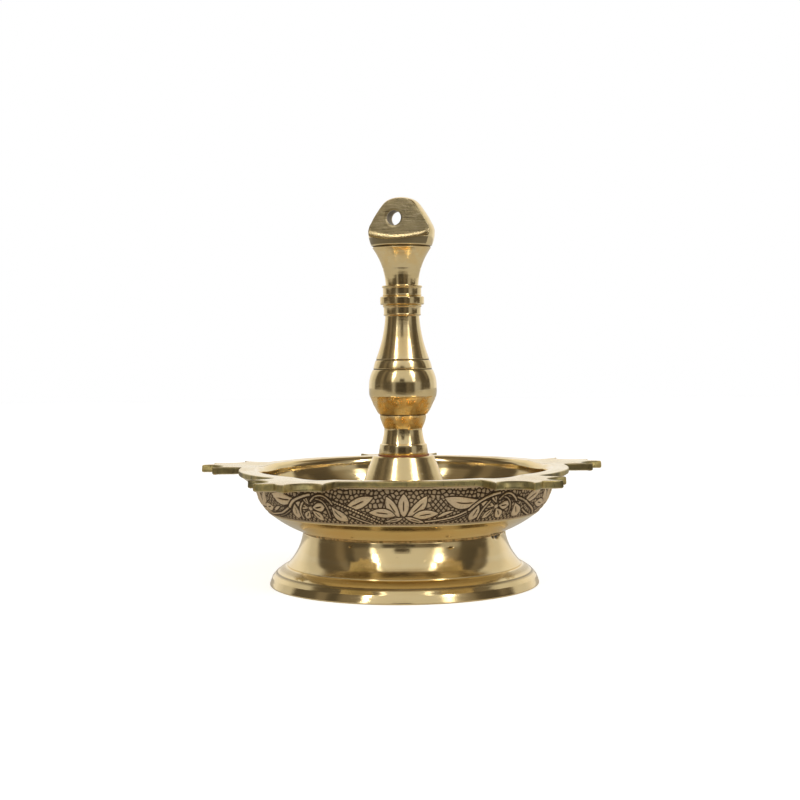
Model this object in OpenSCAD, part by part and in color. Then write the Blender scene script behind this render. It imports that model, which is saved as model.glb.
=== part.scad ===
// Five-wick brass oil lamp (diya): a cast foot, a lipped oil dish with five wick
// spouts, a raised centre boss and a turned handle that screws down onto it.
// Millimetres, +Z up, origin on the lamp's axis at the table.

/* [Foot] */
// Radius of the foot where it stands
foot_r = 39.1; // [34:0.1:46]
// Height of the upright band at the foot's edge
foot_band_h = 2.4; // [1.2:0.1:3.2]
// Width of the sloping skirt, from the foot's edge in to the step
skirt_w = 4.8; // [3:0.1:6]
// Height of the turned step
step_z = 5.6; // [4:0.1:7]
// Depth of the turned step
step_cut = 0.35; // [0.2:0.05:0.6]
// Width of the flare, from the step in to the neck under the dish
flare_w = 4.9; // [3.5:0.1:8]
// Height of the foot
foot_h = 15.2; // [12:0.1:20]
// Inward bow of the flare
flare_bow = 0.85; // [0.3:0.05:1.5]
// Outward bow of the skirt
skirt_bow = 0.25; // [0.1:0.05:0.4]
// Inward lean of the upright band
band_lean = 0.35; // [0.1:0.05:0.6]
// Rounded edge of the foot
foot_edge = 0.35; // [0.2:0.05:0.5]
// Wall of the foot
foot_wall = 2; // [1.5:0.1:3]
// Thickness of the brazed seam between foot and dish
braze_t = 0.4; // [0.2:0.05:0.8]
// How far the seam stands proud of the neck
braze_proud = 0.15; // [0.05:0.05:0.4]

/* [Dish] */
// Outside radius of the dish under its rim
dish_r = 43.5; // [40:0.1:54]
// Height of the dish from its underside to the rim's top
dish_h = 18; // [16:0.1:26]
// How far the wall draws in from under the rim to the engraved band's lower edge
band_draw = 4.2; // [3.4:0.1:6]
// Height of the engraved band's lower edge above the dish's underside
band_z = 5.7; // [4:0.1:7]
// Outward bow of the plain stretch under the band
plain_bow = 0.45; // [0.2:0.05:0.8]
// Outward bow of the engraved band
band_bow = 1.25; // [0.6:0.05:1.6]
// Wall of the dish
dish_wall = 2; // [1.5:0.1:2.6]
// Rounded edge of the dish's lip
lip_edge = 0.5; // [0.2:0.05:0.7]
// Thickness of the dish's floor
floor_t = 2.2; // [1.5:0.1:3]
// Thickness of the rim between the spouts
rim_t = 1.7; // [1.2:0.1:2.4]

/* [Spouts] */
// Number of wick spouts
spout_count = 5; // [3:1:6]
// How far a spout's tip corners stand out from the dish's wall
tip_out = 18.2; // [15:0.1:24]
// Half the width between a spout's tip corners
tip_half = 5.4; // [4:0.1:7]
// Depth of the hollow in a spout's end
tip_hollow = 2.8; // [1:0.1:3.5]
// How far the shoulder cusps stand out from the dish's wall
cusp_out = 11.7; // [10:0.1:13]
// Half the width between the shoulder cusps
cusp_half = 12.8; // [11:0.1:14.5]
// Depth of the bite between shoulder and tip
bite = 4.2; // [2:0.1:4.4]
// How far the spout's root stands out from the dish's wall
root_out = 2.9; // [2:0.1:4]
// Half the width of the spout at its root
root_half = 10.2; // [8:0.1:11]
// Inward bow of a spout's side, from its root to the cusp
root_bow = 0.8; // [0.3:0.1:1.2]
// How far the rim overhangs the wall halfway between two spouts
bay_out = 2.05; // [1.2:0.05:4]
// Thickness of a spout
spout_t = 2.2; // [1.8:0.1:3]
// Radius of the wick trough
trough_r = 11; // [8:0.5:16]
// Depth of the wick trough at the dish's lip
trough_d = 1.1; // [0.6:0.1:1.4]
// How far from the dish's wall the trough runs out
trough_out = 14.5; // [11:0.5:16.5]

/* [Centre boss] */
// Height of the boss above the dish's floor
boss_h = 19.2; // [15:0.1:24]
// Radius of the boss at its top
boss_top_r = 8.95; // [8:0.05:11]
// Radius of the boss on the dish's floor
boss_foot_r = 17.2; // [14:0.1:20]
// Depth of the socket for the handle's stud
socket_depth = 12; // [11:0.5:14]
// Radius of the shank that passes through the floor
shank_r = 4; // [3:0.1:5]
// Shank that shows under the nut
shank_spare = 1; // [0.5:0.1:2]
// Radius of the clamp washer
washer_r = 8.5; // [7.5:0.1:11]
// Thickness of the clamp washer
washer_t = 1; // [0.6:0.1:1.6]
// Size of the nut across its flats
nut_flats = 13; // [12:0.5:15]
// Height of the nut
nut_h = 4.5; // [3:0.1:6]

/* [Handle] */
// Radius of the seal washer
seal_r = 7.4; // [6.8:0.1:8.5]
// Thickness of the seal washer
seal_t = 0.35; // [0.2:0.05:0.6]
// Radius of the handle's collar on the seal
collar_r = 7.2; // [6.5:0.1:8]
// Height of that collar
collar_h = 3.1; // [2:0.1:4.5]
// How far the collar tapers in towards its top
collar_taper = 0.4; // [0.1:0.05:0.6]
// Radius of the reel's waist, under the bulb
reel_r = 5.5; // [5.1:0.1:6]
// Height of the reel
reel_h = 4.5; // [3:0.1:6]
// Radius of the bulb
bulb_r = 9.85; // [9.3:0.05:11.5]
// Height of the bulb's tapered underside
bulb_low_h = 9.2; // [7:0.1:12]
// How far in from the bulb's widest the groove round its underside lies
low_groove_in = 2.9; // [2.4:0.05:3.3]
// Height of that groove above the reel
low_groove_h = 3.9; // [3:0.1:5]
// Height of the bulb's widest stretch
bulb_mid_h = 3.4; // [2:0.1:5]
// Height of the bulb's upper curve, up to its top groove
bulb_top_h = 7.2; // [5:0.1:10]
// How far in from the bulb's widest its middle groove lies
mid_groove_in = 1.15; // [0.9:0.05:1.5]
// Distance between the middle and the top groove
groove_gap = 2.7; // [1.5:0.1:4]
// How far in from the middle groove the top groove lies
top_groove_in = 0.85; // [0.5:0.05:1.6]
// Radius of the stem above the bulb
stem_r = 4.93; // [4.4:0.05:5.4]
// Height of the long taper above the bulb
taper_h = 12.7; // [9:0.1:18]
// Inward bow of the long taper
taper_bow = 0.5; // [0.2:0.05:0.8]
// Radius of the middle ring
ring_r = 6.35; // [6.1:0.05:7.5]
// Height of the middle ring
ring_h = 2.5; // [1.5:0.1:4]
// Radius of the spools above and below the middle ring
spool_r = 5.65; // [5.4:0.05:5.9]
// Height of each spool
spool_h = 3.1; // [2:0.1:4.5]
// Depth of a spool's waist
spool_waist = 0.3; // [0.1:0.05:0.45]
// How much wider the upper spool is than the lower one
spool_gain = 0.2; // [0:0.05:0.3]
// Radius of the upper neck at its thinnest
neck_top_r = 4.75; // [4.2:0.05:5.2]
// Height of the upper neck's flare
neck_top_h = 11.2; // [8:0.1:15]
// How far in from the ball's widest the neck's flare ends
flare_top_in = 1.2; // [0.9:0.05:1.6]
// Inward bow of the upper neck
neck_bow = 0.85; // [0.4:0.05:1.2]
// Radius of the ball at the top
ball_r = 9.65; // [8.8:0.05:11.5]
// Half the height of the ball
ball_half_h = 9.95; // [9:0.05:12]
// Height of the ball's centre above the head's groove
ball_lift = 4.4; // [4:0.1:5]
// Depth of the turned grooves
groove_d = 0.3; // [0.15:0.05:0.5]
// Width of the turned grooves
groove_w = 0.45; // [0.3:0.05:0.7]
// Radius of the threaded stud
stud_r = 3.95; // [3.4:0.05:4.2]
// Chamfer on turned edges and thread ends
edge = 0.2; // [0.1:0.05:0.3]
// Length of the stud inside the handle
stud_in = 10; // [6:0.5:14]
// Length of the stud below the handle
stud_out = 10; // [8:0.5:11]

/* [Hanging eye] */
// Thickness of the ball between its two flats
eye_t = 6.4; // [5:0.1:8]
// Height of the flats' lower ledge above the ball's groove
ledge_lift = 3; // [2:0.1:4]
// Radius of the ledge's inner corner
ledge_fillet = 1.2; // [0.6:0.1:2]
// Radius of the hanging hole
eye_r = 2.15; // [1.6:0.05:2.6]
// Height of the hole above the ball's centre
eye_lift = 3.85; // [2:0.05:4.5]
// How far the hole sits off the middle of the flat
eye_off = 1.5; // [0:0.1:2]
// Turn of the flats about the lamp's axis
eye_turn = 17; // [0:1:40]

/* [Fits] */
// Radial clearance of the handle's stud in the socket
thread_gap = 0.05; // [0.02:0.01:0.1]
// Radial clearance of the boss's shank in the floor and the washer
shank_gap = 0.1; // [0.05:0.05:0.3]
// Radial clearance of the seal washer round the stud
seal_gap = 0.4; // [0.3:0.05:0.6]

/* [Hidden] */
$fn = 96;
brass = [0.80, 0.66, 0.38];
pale_brass = [0.86, 0.76, 0.52];
braze_colour = [0.62, 0.47, 0.24];
seal_colour = [0.60, 0.27, 0.13];
eps = 0.01;

// Radii that follow from the sizes above
step_r = foot_r - skirt_w;
neck_r = step_r - flare_w;
band_r = dish_r - band_draw;
tip_reach = dish_r + tip_out;
cusp_reach = dish_r + cusp_out;
root_reach = dish_r + root_out;
trough_end = dish_r + trough_out;
low_groove_r = bulb_r - low_groove_in;
mid_groove_r = bulb_r - mid_groove_in;
top_groove_r = mid_groove_r - top_groove_in;
flare_top_r = ball_r - flare_top_in;

// Heights of the stack above the table
dish_z = foot_h + braze_t;
rim_z = dish_z + dish_h;
floor_z = dish_z + floor_t;
boss_z = floor_z + boss_h;
handle_z = boss_z + seal_t;
reel_z = handle_z + collar_h;
bulb_z = reel_z + reel_h;
bulb_mid_z = bulb_z + bulb_low_h;
bulb_top_z = bulb_mid_z + bulb_mid_h;
taper_z = bulb_top_z + bulb_top_h;
spool_z = taper_z + taper_h;
ring_z = spool_z + spool_h;
spool2_z = ring_z + ring_h;
neck_top_z = spool2_z + spool_h;
head_z = neck_top_z + neck_top_h;
ball_z = head_z + ball_lift;
eye_z = ball_z + eye_lift;

// Points along a circular arc from a to b, bowed by sag to the left of a-b
function arc(a, b, sag, n = 8) =
    let (d = b - a, len = norm(d), u = d / len, w = [-u[1], u[0]])
    let (r = (len * len / 4 + sag * sag) / (2 * sag), half = asin(len / (2 * r)))
    [for (i = [0:n]) let (t = half * (2 * i / n - 1))
        (a + b) / 2 + w * (sag - r + r * cos(t)) + u * r * sin(t)];

// A V groove at height z on a surface of radius r that widens by slope as it rises
function groove(r, z, slope) = let (half = groove_w / 2)
    [[r - slope * half, z - half], [r - groove_d, z], [r + slope * half, z + half]];

// A spout's outline, pointing along +X, from one root to the other
function spout_line() =
    let (root = [root_reach, root_half], cusp = [cusp_reach, cusp_half])
    let (tip = [tip_reach, tip_half], side = concat(
        arc(tip, cusp, bite, 10), arc(cusp, root, root_bow, 4)))
    concat([for (i = [len(side) - 1:-1:0]) [side[i][0], -side[i][1]]],
        arc([tip_reach, -tip_half], tip, tip_hollow, 8), side);

function turned(p, a) = [p[0] * cos(a) - p[1] * sin(a), p[0] * sin(a) + p[1] * cos(a)];

spout_step = 360 / spout_count;
spout_first = 90;

// The rim's whole outline: spouts joined by shallow bays
module rim_outline() {
    line = spout_line();
    last = line[len(line) - 1];
    next = turned(line[0], spout_step);
    bay = arc(last, next, norm((last + next) / 2) - dish_r - bay_out, 10);
    polygon([for (k = [0:spout_count - 1]) for (p = concat(line, bay))
        turned(p, spout_first + k * spout_step)]);
}

// One closed spout, from the dish's wall outwards
module spout_outline() {
    polygon(concat([[dish_r - dish_wall, -root_half]], spout_line(),
        [[dish_r - dish_wall, root_half]]));
}

// The outside of the dish, from its underside to the rim
function dish_outside() = concat(
    arc([neck_r + braze_proud, dish_z], [band_r, dish_z + band_z], -plain_bow, 6),
    arc([band_r, dish_z + band_z], [dish_r, rim_z - rim_t - edge], -band_bow, 10));

// The inside of the dish, from the lip down to the floor
function dish_inside() =
    let (lip = dish_r - dish_wall, knee = [band_r - dish_wall, dish_z + band_z + dish_wall])
    concat(arc([lip + lip_edge, rim_z], [lip, rim_z - lip_edge], -lip_edge / 4, 3),
        arc([lip, rim_z - 2 * lip_edge], knee, band_bow - edge, 10),
        arc(knee, [neck_r - dish_wall, floor_z], plain_bow, 6));

module dish() {
    color(brass)
    difference() {
        union() {
            rotate_extrude()
                polygon(concat([[0, dish_z]], dish_outside(), [[dish_r, rim_z]],
                    dish_inside(), [[0, floor_z]]));
            difference() {
                union() {
                    translate([0, 0, rim_z - rim_t]) linear_extrude(rim_t) rim_outline();
                    for (k = [0:spout_count - 1])
                        rotate([0, 0, spout_first + k * spout_step])
                        translate([0, 0, rim_z - spout_t])
                        linear_extrude(spout_t) spout_outline();
                }
                translate([0, 0, dish_z]) cylinder(h = dish_h + 1, r = dish_r - dish_wall / 2);
            }
        }
        wick_troughs();
        translate([0, 0, dish_z - eps]) cylinder(h = floor_t + 2 * eps, r = shank_r + shank_gap);
    }
}

// Shallow round-bottomed troughs that fade out towards each spout's tip
module wick_troughs() {
    lip = dish_r - dish_wall;
    run = trough_end - lip;
    fall = atan(trough_d / run);
    for (k = [0:spout_count - 1])
        rotate([0, 0, spout_first + k * spout_step])
        translate([trough_end, 0, rim_z])
        rotate([0, -90 - fall, 0])
        translate([trough_r, 0, 0])
        cylinder(h = run + 4, r = trough_r);
}

module foot() {
    band_top = [foot_r - band_lean, foot_band_h];
    skirt_low = band_top + [-foot_edge, foot_edge];
    flare_low = [step_r - step_cut, step_z + edge];
    inner_low = [step_r - step_cut - foot_wall, step_z - foot_wall / 2];
    inner_band = [foot_r - band_lean - foot_wall, foot_band_h - foot_wall / 2];
    color(pale_brass)
    rotate_extrude()
        polygon(concat(
            [[foot_r - foot_wall, 0], [foot_r - foot_edge, 0], [foot_r, foot_edge], band_top],
            arc(skirt_low, [step_r, step_z], -skirt_bow, 5),
            arc(flare_low, [neck_r, foot_h], flare_bow, 12),
            arc([neck_r - foot_wall, foot_h], inner_low, -flare_bow, 12),
            [inner_band]));
}

// The brazed seam that joins foot and dish
module foot_braze() {
    color(braze_colour)
    rotate_extrude()
        polygon([[neck_r - foot_wall, foot_h], [neck_r, foot_h],
            [neck_r + braze_proud, foot_h + braze_t / 2],
            [neck_r + braze_proud, foot_h + braze_t], [neck_r - foot_wall, foot_h + braze_t]]);
}

// The boss that stands in the oil, with its shank down through the floor
module centre_boss() {
    socket_r = stud_r + thread_gap;
    shank_z = dish_z - washer_t - nut_h - shank_spare;
    lead = 2 * edge;
    color(pale_brass)
    rotate_extrude()
        polygon([[0, shank_z], [shank_r - lead, shank_z], [shank_r, shank_z + lead],
            [shank_r, floor_z], [boss_foot_r, floor_z],
            [boss_top_r, boss_z - edge], [boss_top_r - edge, boss_z],
            [socket_r, boss_z], [socket_r, boss_z - socket_depth], [0, boss_z - socket_depth]]);
}

module clamp_washer() {
    color(brass)
    translate([0, 0, dish_z - washer_t])
    difference() {
        cylinder(h = washer_t, r = washer_r);
        translate([0, 0, -eps]) cylinder(h = washer_t + 2 * eps, r = shank_r + shank_gap);
    }
}

module clamp_nut() {
    color(brass)
    translate([0, 0, dish_z - washer_t - nut_h])
    difference() {
        cylinder(h = nut_h, r = nut_flats / sqrt(3), $fn = 6);
        translate([0, 0, -eps]) cylinder(h = nut_h + 2 * eps, r = shank_r + thread_gap);
    }
}

// The thin washer that keeps oil out of the handle's thread
module seal_washer() {
    color(seal_colour)
    translate([0, 0, boss_z])
    difference() {
        cylinder(h = seal_t, r = seal_r);
        translate([0, 0, -eps]) cylinder(h = seal_t + 2 * eps, r = stud_r + seal_gap);
    }
}

// Profile of the handle from its seat up to the head's groove
function handle_line() =
    let (collar_top = collar_r - collar_taper, half = groove_w / 2)
    let (low_z = bulb_z + low_groove_h, mid_z = taper_z - groove_gap)
    let (low_slope = (bulb_r - low_groove_r) / (bulb_mid_z - low_z))
    let (top_slope = (top_groove_r - mid_groove_r) / groove_gap)
    let (low_groove = groove(low_groove_r, low_z, low_slope))
    let (mid_groove = groove(mid_groove_r, mid_z, top_slope))
    let (top_groove = groove(top_groove_r, taper_z, top_slope))
    concat(
        [[collar_r, handle_z], [collar_top, reel_z - edge]],
        arc([collar_top - edge, reel_z], [reel_r, bulb_z], collar_taper / 3, 5),
        arc([reel_r, bulb_z + edge], low_groove[0], -edge / 2, 4),
        [low_groove[1], low_groove[2]],
        arc([bulb_r - 1.5 * edge, bulb_mid_z], [bulb_r, bulb_top_z], -edge / 2, 5),
        arc([bulb_r, bulb_top_z + edge], mid_groove[0], -edge, 6),
        [mid_groove[1], mid_groove[2]],
        top_groove,
        arc(top_groove[2] + [0, edge], [stem_r, spool_z], taper_bow, 10),
        spool(spool_r, spool_z), ring(), spool(spool_r + spool_gain, spool2_z),
        arc([neck_top_r, neck_top_z + edge], [flare_top_r, head_z - half], neck_bow, 10),
        [[flare_top_r - groove_d, head_z]]);

// A waisted spool of radius r that starts at height z
function spool(r, z) = let (waist = r - spool_waist)
    [[waist, z + edge / 2], [waist, z + 2 * edge], [waist - edge, z + 3 * edge],
    [waist - edge, z + spool_h / 2], [waist, z + spool_h - 2 * edge],
    [r, z + spool_h - edge], [r, z + spool_h]];

// The proud ring between the two spools
function ring() = [[ring_r - edge, ring_z + edge / 2], [ring_r, ring_z + 1.5 * edge],
    [ring_r, spool2_z - edge], [ring_r - edge, spool2_z]];

// The ball's profile above the head's groove
function ball_line() =
    let (start = asin(-(ball_lift - groove_w / 2) / ball_half_h), n = 22)
    [for (i = [0:n - 1]) let (t = start + (90 - start) * i / n)
        [ball_r * cos(t), ball_z + ball_half_h * sin(t)]];

module handle() {
    bore_r = stud_r + thread_gap;
    color(brass)
    difference() {
        rotate_extrude()
            polygon(concat([[bore_r, handle_z]], handle_line(), ball_line(),
                [[0, ball_z + ball_half_h], [0, handle_z + stud_in], [bore_r, handle_z + stud_in]]));
        rotate([0, 0, -eye_turn]) {
            for (side = [0, 180]) rotate([0, 0, side]) eye_flat();
            translate([-eye_off, 0, eye_z]) rotate([90, 0, 0])
                cylinder(h = eye_t * 2, r = eye_r, center = true);
        }
    }
}

// What is cut away beside one flat of the hanging eye
module eye_flat() {
    half = eye_t / 2;
    ledge_z = head_z + ledge_lift;
    top = ball_z + ball_half_h + 1;
    corner = [half + ledge_fillet, ledge_z];
    rise = [half, ledge_z + ledge_fillet];
    translate([-ball_r - 1, 0, 0]) rotate([90, 0, 90])
        linear_extrude(2 * ball_r + 2)
        polygon(concat([[half, top], [ball_r + 1, top], [ball_r + 1, ledge_z]],
            arc(corner, rise, -ledge_fillet * (1 - sqrt(0.5)), 5)));
}

// The threaded stud that is fixed in the handle and screws into the boss
module handle_stud() {
    low = handle_z - stud_out;
    color(pale_brass)
    rotate_extrude()
        polygon([[0, low], [stud_r - 2 * edge, low], [stud_r, low + 2 * edge],
            [stud_r, handle_z + stud_in], [0, handle_z + stud_in]]);
}

foot();
foot_braze();
dish();
centre_boss();
clamp_washer();
clamp_nut();
seal_washer();
handle();
handle_stud();
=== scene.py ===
"""Looks of a five-wick brass oil lamp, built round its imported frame. Metres, +Z up."""
import math

import bmesh
import bpy
import numpy as np
from mathutils import Matrix, Vector


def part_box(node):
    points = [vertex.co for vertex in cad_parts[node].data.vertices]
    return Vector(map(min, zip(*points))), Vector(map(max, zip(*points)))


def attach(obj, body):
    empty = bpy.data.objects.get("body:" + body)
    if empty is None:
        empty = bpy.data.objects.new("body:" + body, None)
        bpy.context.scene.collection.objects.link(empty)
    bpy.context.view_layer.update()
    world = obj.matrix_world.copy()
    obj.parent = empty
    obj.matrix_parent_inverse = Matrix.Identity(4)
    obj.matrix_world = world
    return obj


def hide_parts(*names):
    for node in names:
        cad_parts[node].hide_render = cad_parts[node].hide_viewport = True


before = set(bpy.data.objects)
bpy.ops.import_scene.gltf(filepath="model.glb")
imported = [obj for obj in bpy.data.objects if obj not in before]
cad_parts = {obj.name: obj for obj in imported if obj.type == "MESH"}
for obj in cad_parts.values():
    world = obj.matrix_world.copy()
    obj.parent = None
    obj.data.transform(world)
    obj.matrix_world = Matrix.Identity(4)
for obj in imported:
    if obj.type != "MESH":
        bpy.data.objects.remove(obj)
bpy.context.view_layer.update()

MM = 0.001
TURN = 2 * math.pi


# ---------------------------------------------------------------- places

def low(node):
    """Height of a node's underside, in millimetres."""
    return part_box(node)[0].z / MM


def high(node):
    """Height of a node's top, in millimetres."""
    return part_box(node)[1].z / MM


def reach(node):
    """Largest radius of a turned node, in millimetres."""
    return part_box(node)[1].x / MM


FOOT_R = reach("foot")
FOOT_TOP = high("foot")
NECK_R = 29.4
STEP_R = 34.3
STEP_Z = 5.6
DISH_LOW = low("dish")
RIM_TOP = high("dish")
FLOOR_TOP = DISH_LOW + 2.2
STUD_HOLE_R = 4.15
DISH_R = 43.5
DISH_WALL = 2.0
LIP_R = DISH_R - DISH_WALL
LIP_ROUND = 1.7
BAND_R = 39.3
BAND_LOW = DISH_LOW + 5.7
BAND_HIGH = RIM_TOP - 1.9
BAND_MIDDLE_R = 40.9
BAND_DEPTH = 0.34
RIM_THICK = 1.7
SPOUT_THICK = 2.2
SPOUTS = 5
BOSS_TOP = high("centre_boss")
HANDLE_LOW = low("handle")
THREAD_PITCH = 1.25
EYE_TURN = math.radians(17)
CAMERA_TURN = math.radians(-1.55)


# ---------------------------------------------------------------- outlines

def bow(a, b, sag, n=8):
    """Points on the arc from a to b that bows by sag to its left."""
    a = np.array(a, float)
    b = np.array(b, float)
    along = b - a
    length = np.hypot(*along)
    along = along / length
    left = np.array([-along[1], along[0]])
    radius = (length * length / 4 + sag * sag) / (2 * sag)
    half = math.asin(length / (2 * radius))
    turns = [half * (2 * i / n - 1) for i in range(n + 1)]
    middle = (a + b) / 2
    return [tuple(middle + left * (sag - radius + radius * math.cos(t)) + along * radius * math.sin(t))
            for t in turns]


def eased(line, radius=0.2, n=3, closed=False):
    """The same outline with its corners rounded."""
    points = [np.array(p, float) for p in line]
    count = len(points)
    made = []
    for i, p in enumerate(points):
        if not closed and i in (0, count - 1):
            made.append(tuple(p))
            continue
        before = points[i - 1] - p
        after = points[(i + 1) % count] - p
        lb = np.hypot(*before)
        la = np.hypot(*after)
        if min(lb, la) < 1e-6:
            continue
        turn = math.acos(max(-1, min(1, -float(before @ after) / (lb * la))))
        if turn < math.radians(14):
            made.append(tuple(p))
            continue
        cut = min(radius * math.tan(turn / 2), 0.42 * lb, 0.42 * la)
        start = p + before / lb * cut
        end = p + after / la * cut
        for k in range(n + 1):
            t = k / n
            made.append(tuple((1 - t) ** 2 * start + 2 * t * (1 - t) * p + t * t * end))
    return made


def divided(line, step, closed=False):
    """The same outline with points no further apart than step."""
    points = [np.array(p, float) for p in line]
    if closed:
        points.append(points[0])
    made = [tuple(points[0])]
    for a, b in zip(points, points[1:]):
        n = max(1, math.ceil(np.hypot(*(b - a)) / step))
        made += [tuple(a + (b - a) * k / n) for k in range(1, n + 1)]
    return made[:-1] if closed else made


# ---------------------------------------------------------------- making pieces

def spun(line, steps, closed=False, start=0.0, parts=20):
    """A bmesh of the outline (radius, height, in millimetres) turned once about the lamp's axis.
    One part of the turn is spun step by step, and its copies make up the rest."""
    bm = bmesh.new()
    verts = [bm.verts.new((r * MM * math.cos(start), r * MM * math.sin(start), z * MM)) for r, z in line]
    edges = [bm.edges.new(pair) for pair in zip(verts, verts[1:])]
    if closed:
        edges.append(bm.edges.new((verts[-1], verts[0])))
    part = TURN / parts
    bmesh.ops.spin(bm, geom=verts + edges, cent=(0, 0, 0), axis=(0, 0, 1), angle=part,
                   steps=steps // parts, use_merge=False)
    bmesh.ops.spin(bm, geom=bm.verts[:] + bm.edges[:] + bm.faces[:], cent=(0, 0, 0), axis=(0, 0, 1),
                   angle=TURN - part, steps=parts - 1, use_duplicate=True)
    bmesh.ops.remove_doubles(bm, verts=bm.verts[:], dist=1e-6)
    bmesh.ops.recalc_face_normals(bm, faces=bm.faces[:])
    return bm


def piece(bm, name, body, material, nodes=(), sharp=38):
    """The finished object of a bmesh, riding on its body."""
    mesh = bpy.data.meshes.new(name)
    bm.to_mesh(mesh)
    bm.free()
    mesh.polygons.foreach_set("use_smooth", [True] * len(mesh.polygons))
    mesh.set_sharp_from_angle(angle=math.radians(sharp))
    mesh.materials.append(material)
    obj = bpy.data.objects.new(name, mesh)
    bpy.context.scene.collection.objects.link(obj)
    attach(obj, body)
    if nodes:
        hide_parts(*nodes)
    return obj


def points_of(mesh):
    """A mesh's or bmesh's points in millimetres."""
    return np.array([v.co for v in (mesh.verts if hasattr(mesh, "verts") else mesh.vertices)]) / MM


def move_points(bm, co):
    """Puts a bmesh's points at new places, given in millimetres."""
    for v, p in zip(bm.verts, co * MM):
        v.co = p


def mark(bm, name, values):
    """Writes one number on each point, for the material to read."""
    layer = bm.verts.layers.float.new(name)
    for v, value in zip(bm.verts, values):
        v[layer] = float(value)


def smooth(x, a, b):
    """0 below a, 1 above b, and a smooth rise between."""
    t = np.clip((x - a) / (b - a), 0, 1)
    return t * t * (3 - 2 * t)


def ripple(x, y, z, size, seed):
    """A gentle unevenness between -1 and 1, with waves about size millimetres long."""
    rng = np.random.default_rng(seed)
    total = 0
    for _ in range(7):
        k = rng.normal(size=3)
        k = k / np.linalg.norm(k) * TURN / size * rng.uniform(0.6, 1.5)
        total = total + np.sin(x * k[0] + y * k[1] + z * k[2] + rng.uniform(0, TURN))
    return total / 4


# ---------------------------------------------------------------- materials

class Finish:
    """One material and short ways to wire its nodes."""

    def __init__(self, name, **values):
        self.material = bpy.data.materials.new(name)
        self.material.use_nodes = True
        self.tree = self.material.node_tree
        self.tree.nodes.clear()
        self.out = self.tree.nodes.new("ShaderNodeOutputMaterial")
        self.shader = self.tree.nodes.new("ShaderNodeBsdfPrincipled")
        self.link(self.shader.outputs["BSDF"], self.out.inputs["Surface"])
        for key, value in values.items():
            self.shader.inputs[key.replace("_", " ")].default_value = value
        self.place = self.tree.nodes.new("ShaderNodeTexCoord").outputs["Object"]
        self.bumps = None

    def link(self, a, b):
        self.tree.links.new(a, b)

    def put(self, value, socket):
        if hasattr(value, "is_linked"):
            self.link(value, socket)
        else:
            socket.default_value = value

    def math(self, operation, a, b=0.0, c=0.0):
        node = self.tree.nodes.new("ShaderNodeMath")
        node.operation = operation
        for value, socket in zip((a, b, c), node.inputs):
            self.put(value, socket)
        return node.outputs[0]

    def rise(self, value, a, b, low=0.0, high=1.0):
        """Maps value smoothly from the range a..b to low..high."""
        node = self.tree.nodes.new("ShaderNodeMapRange")
        node.interpolation_type = "SMOOTHSTEP"
        for number, socket in zip((value, a, b, low, high), node.inputs):
            self.put(number, socket)
        return node.outputs[0]

    def blend(self, amount, a, b, kind="MIX"):
        node = self.tree.nodes.new("ShaderNodeMix")
        node.data_type = "RGBA"
        node.blend_type = kind
        self.put(amount, node.inputs[0])
        self.put(a, node.inputs[6])
        self.put(b, node.inputs[7])
        return node.outputs[2]

    def noise(self, scale, detail=3.0, rough=0.55, at=None, stretch=None):
        node = self.tree.nodes.new("ShaderNodeTexNoise")
        node.inputs["Scale"].default_value = scale
        node.inputs["Detail"].default_value = detail
        node.inputs["Roughness"].default_value = rough
        at = at or self.place
        if stretch:
            mapping = self.tree.nodes.new("ShaderNodeMapping")
            mapping.inputs["Scale"].default_value = stretch
            self.link(at, mapping.inputs["Vector"])
            at = mapping.outputs[0]
        self.link(at, node.inputs["Vector"])
        return node.outputs["Fac"]

    def lathe(self, arc=0.0):
        """Place along a turned surface: radius, height and, if arc is set, a little of the angle."""
        split = self.tree.nodes.new("ShaderNodeSeparateXYZ")
        self.link(self.place, split.inputs[0])
        x, y, z = split.outputs
        squares = self.math("ADD", self.math("MULTIPLY", x, x), self.math("MULTIPLY", y, y))
        radius = self.math("SQRT", squares)
        angle = self.math("MULTIPLY", self.math("SINE", self.math("ARCTAN2", y, x)), arc)
        join = self.tree.nodes.new("ShaderNodeCombineXYZ")
        for value, socket in zip((radius, z, angle), join.inputs):
            self.put(value, socket)
        return join.outputs[0]

    def attribute(self, name):
        node = self.tree.nodes.new("ShaderNodeAttribute")
        node.attribute_name = name
        return node.outputs["Fac"]

    def bump(self, height, depth, strength=1.0):
        """Adds a fine relief, depth in millimetres for a height of 1."""
        node = self.tree.nodes.new("ShaderNodeBump")
        node.inputs["Strength"].default_value = strength
        node.inputs["Distance"].default_value = depth * MM
        self.put(height, node.inputs["Height"])
        if self.bumps is not None:
            self.link(self.bumps, node.inputs["Normal"])
        self.bumps = node.outputs[0]
        self.link(self.bumps, self.shader.inputs["Normal"])

    def colour(self, value):
        self.put(value, self.shader.inputs["Base Color"])

    def roughness(self, value):
        self.put(value, self.shader.inputs["Roughness"])


GOLD = (0.86, 0.68, 0.36, 1)
WARM_GOLD = (0.84, 0.57, 0.24, 1)
PALE_GOLD = (0.90, 0.78, 0.52, 1)
TARNISH = (0.30, 0.20, 0.085, 1)
SOOT = (0.028, 0.020, 0.012, 1)
COPPERY = (0.95, 0.67, 0.29, 1)
OLIVE = (0.36, 0.31, 0.14, 1)
TAN = (0.80, 0.63, 0.42, 1)
UMBER = (0.115, 0.075, 0.042, 1)


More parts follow.
